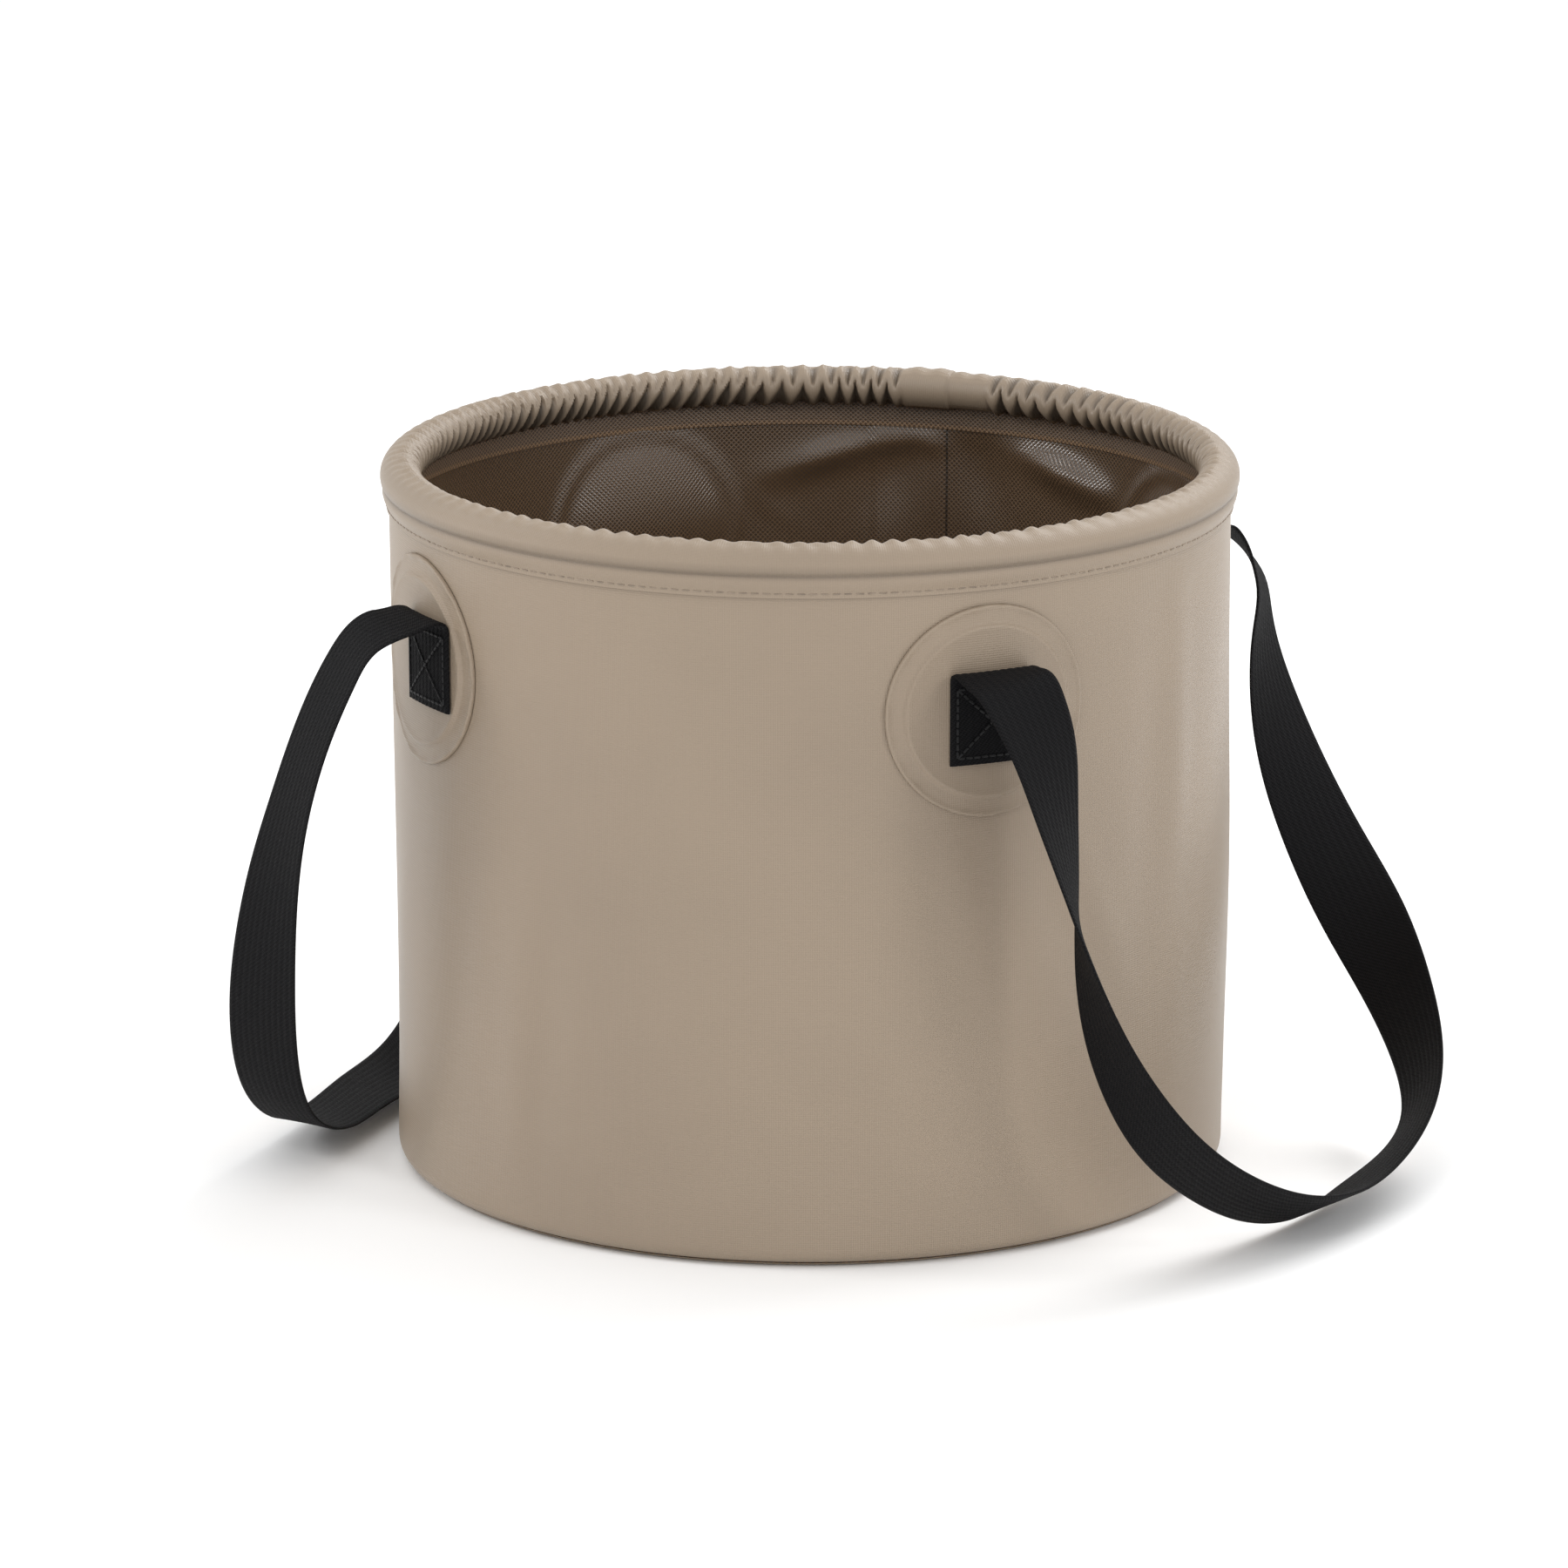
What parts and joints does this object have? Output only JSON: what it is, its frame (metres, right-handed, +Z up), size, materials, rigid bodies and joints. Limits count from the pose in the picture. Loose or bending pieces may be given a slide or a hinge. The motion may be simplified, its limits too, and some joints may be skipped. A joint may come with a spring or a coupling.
{
  "type": "collapsible camp bucket",
  "caption": "Soft round coated-fabric camp bucket with a hooped rim, welded strap patches and webbing carrying straps; the rim slides down to collapse it.",
  "frame": {"origin": "centre of the underside of the base panel, on the bucket's axis at the floor", "axes": "+Z up along the bucket's axis, -Y to the front, +X to the side of the right strap"},
  "size_m": [0.4026, 0.3, 0.252],
  "materials": {
    "wall": "satin coated fabric, tan outside and dark brown inside",
    "cover": "satin coated fabric, tan, sewn round the hoop",
    "base": "satin coated fabric, welded",
    "patch": "satin coated fabric, welded round patch",
    "backing": "plain plastic sheet",
    "hoop": "extruded plastic tube",
    "joiner": "plastic plug",
    "thread": "sewing thread",
    "tab": "black ribbed webbing",
    "stitch": "black sewing thread",
    "bend": "black ribbed webbing",
    "loop": "black ribbed webbing"
  },
  "bodies": {
    "base": {"base_panel": "base", "wall_panel": "wall"},
    "upper": {"rim_hoop": "hoop", "hoop_joiner": "joiner", "rim_cover": "cover", "rim_seam_thread": "thread", "front_right_patch": "patch", "front_right_backing": "backing", "front_right_strap_tab": "tab", "front_right_box_stitch": "stitch", "rear_right_patch": "patch", "rear_right_backing": "backing", "rear_right_strap_tab": "tab", "rear_right_box_stitch": "stitch", "rear_left_patch": "patch", "rear_left_backing": "backing", "rear_left_strap_tab": "tab", "rear_left_box_stitch": "stitch", "front_left_patch": "patch", "front_left_backing": "backing", "front_left_strap_tab": "tab", "front_left_box_stitch": "stitch"},
    "right_fold": {"front_right_strap_bend": "bend", "rear_right_strap_bend": "bend"},
    "right_strap": {"right_strap_loop": "loop"},
    "left_fold": {"front_left_strap_bend": "bend", "rear_left_strap_bend": "bend"},
    "left_strap": {"left_strap_loop": "loop"}
  },
  "joints": [
    {"name": "collapse", "type": "slide", "parent": "base", "child": "upper", "axis": [0, 0, -1], "range_m": [0, 0.15], "deforming": ["wall_panel"]},
    {"name": "right_drape", "type": "hinge", "parent": "upper", "child": "right_fold", "pos_m": [0.11998, 0, 0.212], "axis": [0, -1, 0], "range_deg": [0, 58.45], "deforming": ["front_right_strap_bend", "rear_right_strap_bend"]},
    {"name": "right_swing", "type": "hinge", "parent": "right_fold", "child": "right_strap", "pos_m": [0.11998, 0, 0.212], "axis": [0, -1, 0], "range_deg": [0, 112], "deforming": ["front_right_strap_bend", "rear_right_strap_bend"]},
    {"name": "left_drape", "type": "hinge", "parent": "upper", "child": "left_fold", "pos_m": [-0.11998, 0, 0.212], "axis": [0, 1, 0], "range_deg": [0, 65.32], "deforming": ["front_left_strap_bend", "rear_left_strap_bend"]},
    {"name": "left_swing", "type": "hinge", "parent": "left_fold", "child": "left_strap", "pos_m": [-0.11998, 0, 0.212], "axis": [0, 1, 0], "range_deg": [0, 105], "deforming": ["front_left_strap_bend", "rear_left_strap_bend"]}
  ],
  "couplings": [
    {"joint": "right_drape", "follows": "collapse", "rad_per_m": 6.8},
    {"joint": "left_drape", "follows": "collapse", "rad_per_m": 7.6}
  ]
}
